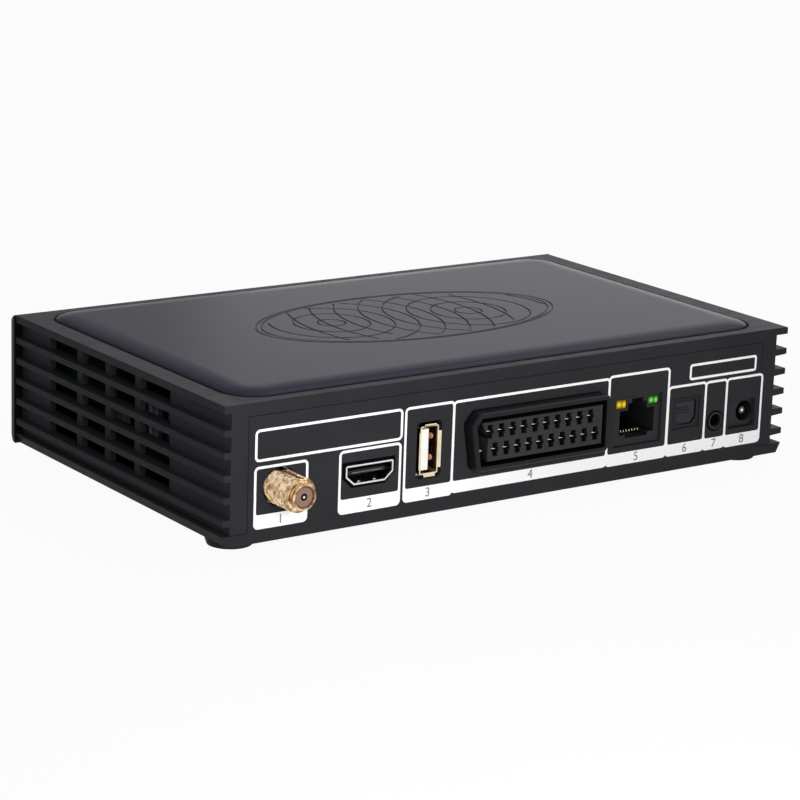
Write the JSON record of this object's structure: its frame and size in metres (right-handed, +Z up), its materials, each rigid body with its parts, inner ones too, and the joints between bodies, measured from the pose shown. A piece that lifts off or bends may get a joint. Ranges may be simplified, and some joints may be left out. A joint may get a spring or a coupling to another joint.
{
  "type": "satellite tv receiver",
  "caption": "Flat grey set-top box with finned side walls, a raised engraved lid panel, a smoked front window, push buttons and a row of sockets along the rear.",
  "frame": {"origin": "centre of the whole object's footprint, on the surface its feet stand on", "axes": "+Z up, the front panel faces -Y, the sockets face +Y, +X is on the left seen from the rear"},
  "size_m": [0.191, 0.1262, 0.0409],
  "materials": {
    "case_plastic": "fine satin texture",
    "cover_plastic": "satin, slightly metallic grey",
    "lid_plastic": "semi-gloss grey with engraved lines",
    "bezel_plastic": "gloss",
    "window_plastic": "smoked, gloss",
    "button_plastic": "satin",
    "circuit_board": "solder mask",
    "black_plastic": "moulded",
    "white_plastic": "moulded",
    "insulator_plastic": "moulded",
    "display_plastic": "gloss",
    "sensor_plastic": "gloss",
    "nickel": "polished",
    "tinplate": "brushed",
    "gilt": "polished",
    "screw_steel": "black zinc",
    "heatsink_metal": "satin",
    "capacitor_sleeve": "shrink sleeve",
    "lamp_yellow": "clear lens",
    "lamp_green": "clear lens",
    "lamp_red": "clear lens",
    "lens_clear": "clear"
  },
  "bodies": {
    "case": {"bottom_shell": "case_plastic", "top_cover": "cover_plastic", "lid_panel": "lid_plastic", "front_bezel": "bezel_plastic", "display_window": "window_plastic", "front_board": "circuit_board", "display_module": "display_plastic", "infrared_receiver": "sensor_plastic", "status_lamp": "lamp_red", "button_switches": "black_plastic", "main_board": "circuit_board", "link_header": "black_plastic", "case_screws": "screw_steel", "board_screws": "tinplate", "tuner_can": "tinplate", "coax_barrel": "nickel", "coax_insulator": "insulator_plastic", "coax_contact": "gilt", "video_shell": "nickel", "video_insulator": "black_plastic", "data_shell": "nickel", "data_insulator": "white_plastic", "tv_housing": "black_plastic", "tv_insert": "black_plastic", "tv_contacts": "gilt", "lan_housing": "black_plastic", "lan_lamp_yellow": "lamp_yellow", "lan_lamp_green": "lamp_green", "lan_contacts": "gilt", "optical_housing": "black_plastic", "optical_lens": "lens_clear", "serial_jack": "black_plastic", "power_inlet": "black_plastic", "power_pin": "nickel", "processor": "black_plastic", "heatsink": "heatsink_metal", "capacitors": "capacitor_sleeve", "coils": "black_plastic", "memory_chips": "black_plastic"},
    "power_button": {"power_button": "button_plastic"},
    "channel_down_button": {"channel_down_button": "button_plastic"},
    "channel_up_button": {"channel_up_button": "button_plastic"},
    "optical_shutter": {"optical_shutter": "black_plastic"}
  },
  "joints": [
    {"name": "power_press", "type": "slide", "parent": "case", "child": "power_button", "axis": [0, 1, 0], "range_m": [0, 0.0004], "stiffness_N_per_m": 800, "springref_m": -0.0002},
    {"name": "channel_down_press", "type": "slide", "parent": "case", "child": "channel_down_button", "axis": [0, 1, 0], "range_m": [0, 0.0004], "stiffness_N_per_m": 800, "springref_m": -0.0002},
    {"name": "channel_up_press", "type": "slide", "parent": "case", "child": "channel_up_button", "axis": [0, 1, 0], "range_m": [0, 0.0004], "stiffness_N_per_m": 800, "springref_m": -0.0002},
    {"name": "shutter_swing", "type": "hinge", "parent": "case", "child": "optical_shutter", "pos_m": [-0.05805, 0.05045, 0.02173], "axis": [-1, 0, 0], "range_deg": [0, 80], "stiffness_Nm_per_rad": 0.00003, "springref_deg": -17.19}
  ]
}
